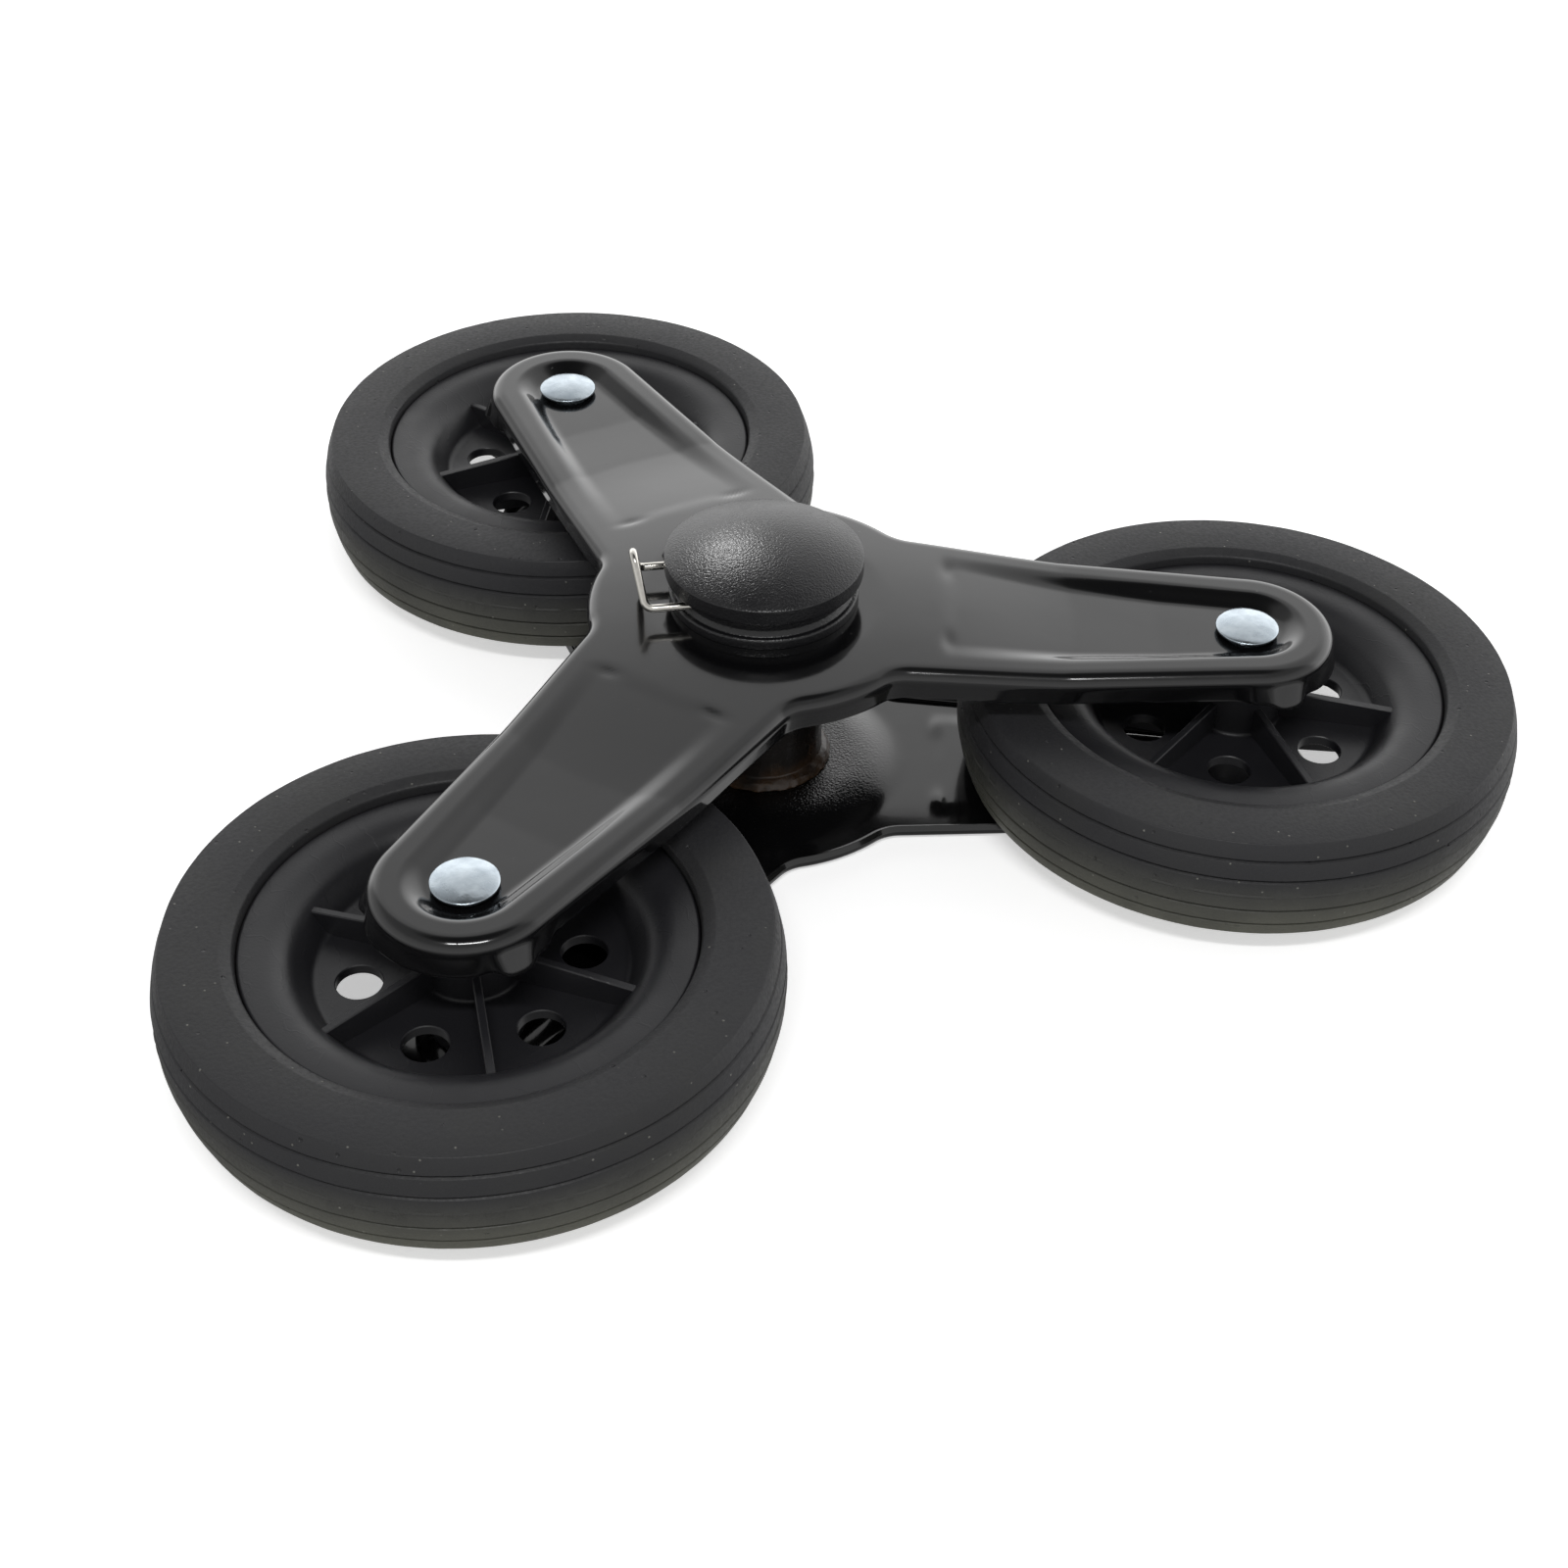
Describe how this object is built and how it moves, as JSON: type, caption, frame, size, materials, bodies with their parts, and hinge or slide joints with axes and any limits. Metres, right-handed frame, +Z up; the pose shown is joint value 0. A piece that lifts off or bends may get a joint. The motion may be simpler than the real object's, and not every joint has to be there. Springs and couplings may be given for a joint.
{
  "type": "stair climbing trolley wheel set",
  "caption": "Star-shaped wheel set for a stair climbing hand trolley: pressed black plates around a hub tube, rubber wheels on riveted axles, a domed hub cap and a spring wire axle clip.",
  "frame": {"origin": "centre of the hub bore at its lower mouth, in the resting face of the lower plate", "axes": "+Z up the hub axis towards the cap, +Y towards the arm of wheel 3, +X so that wheel 2 is right and wheel 1 left"},
  "size_m": [0.3968, 0.3651, 0.0815],
  "materials": {
    "black_enamel": "gloss black baked enamel on pressed steel",
    "black_nylon": "satin black moulded plastic",
    "spring_wire": "bright drawn spring wire",
    "zinc_rivet": "bright blue zinc plating",
    "rubber": "matt black solid rubber",
    "rim_plastic": "satin black polypropylene",
    "bush_nylon": "natural nylon"
  },
  "bodies": {
    "frame": {"top_plate": "black_enamel", "bottom_plate": "black_enamel", "hub_tube": "black_enamel", "lower_bush": "black_nylon", "hub_collar": "black_nylon", "hub_cap": "black_nylon", "axle_rivet_1": "zinc_rivet", "spacer_tube_1": "zinc_rivet", "axle_rivet_2": "zinc_rivet", "spacer_tube_2": "zinc_rivet", "axle_rivet_3": "zinc_rivet", "spacer_tube_3": "zinc_rivet"},
    "clip": {"wire_clip": "spring_wire"},
    "wheel_1": {"tyre_1": "rubber", "rim_1": "rim_plastic", "wheel_bush_upper_1": "bush_nylon", "wheel_bush_lower_1": "bush_nylon"},
    "wheel_2": {"tyre_2": "rubber", "rim_2": "rim_plastic", "wheel_bush_upper_2": "bush_nylon", "wheel_bush_lower_2": "bush_nylon"},
    "wheel_3": {"tyre_3": "rubber", "rim_3": "rim_plastic", "wheel_bush_upper_3": "bush_nylon", "wheel_bush_lower_3": "bush_nylon"}
  },
  "joints": [
    {"name": "wheel_1_spin", "type": "hinge", "parent": "frame", "child": "wheel_1", "pos_m": [-0.11839, -0.06835, 0.025], "axis": [0, 0, 1], "continuous": true},
    {"name": "wheel_2_spin", "type": "hinge", "parent": "frame", "child": "wheel_2", "pos_m": [0.11839, -0.06835, 0.025], "axis": [0, 0, 1], "continuous": true},
    {"name": "wheel_3_spin", "type": "hinge", "parent": "frame", "child": "wheel_3", "pos_m": [0, 0.1367, 0.025], "axis": [0, 0, 1], "continuous": true},
    {"name": "clip_slide", "type": "slide", "parent": "frame", "child": "clip", "axis": [-0.9483, 0.3173, 0], "range_m": [0, 0.019]}
  ]
}
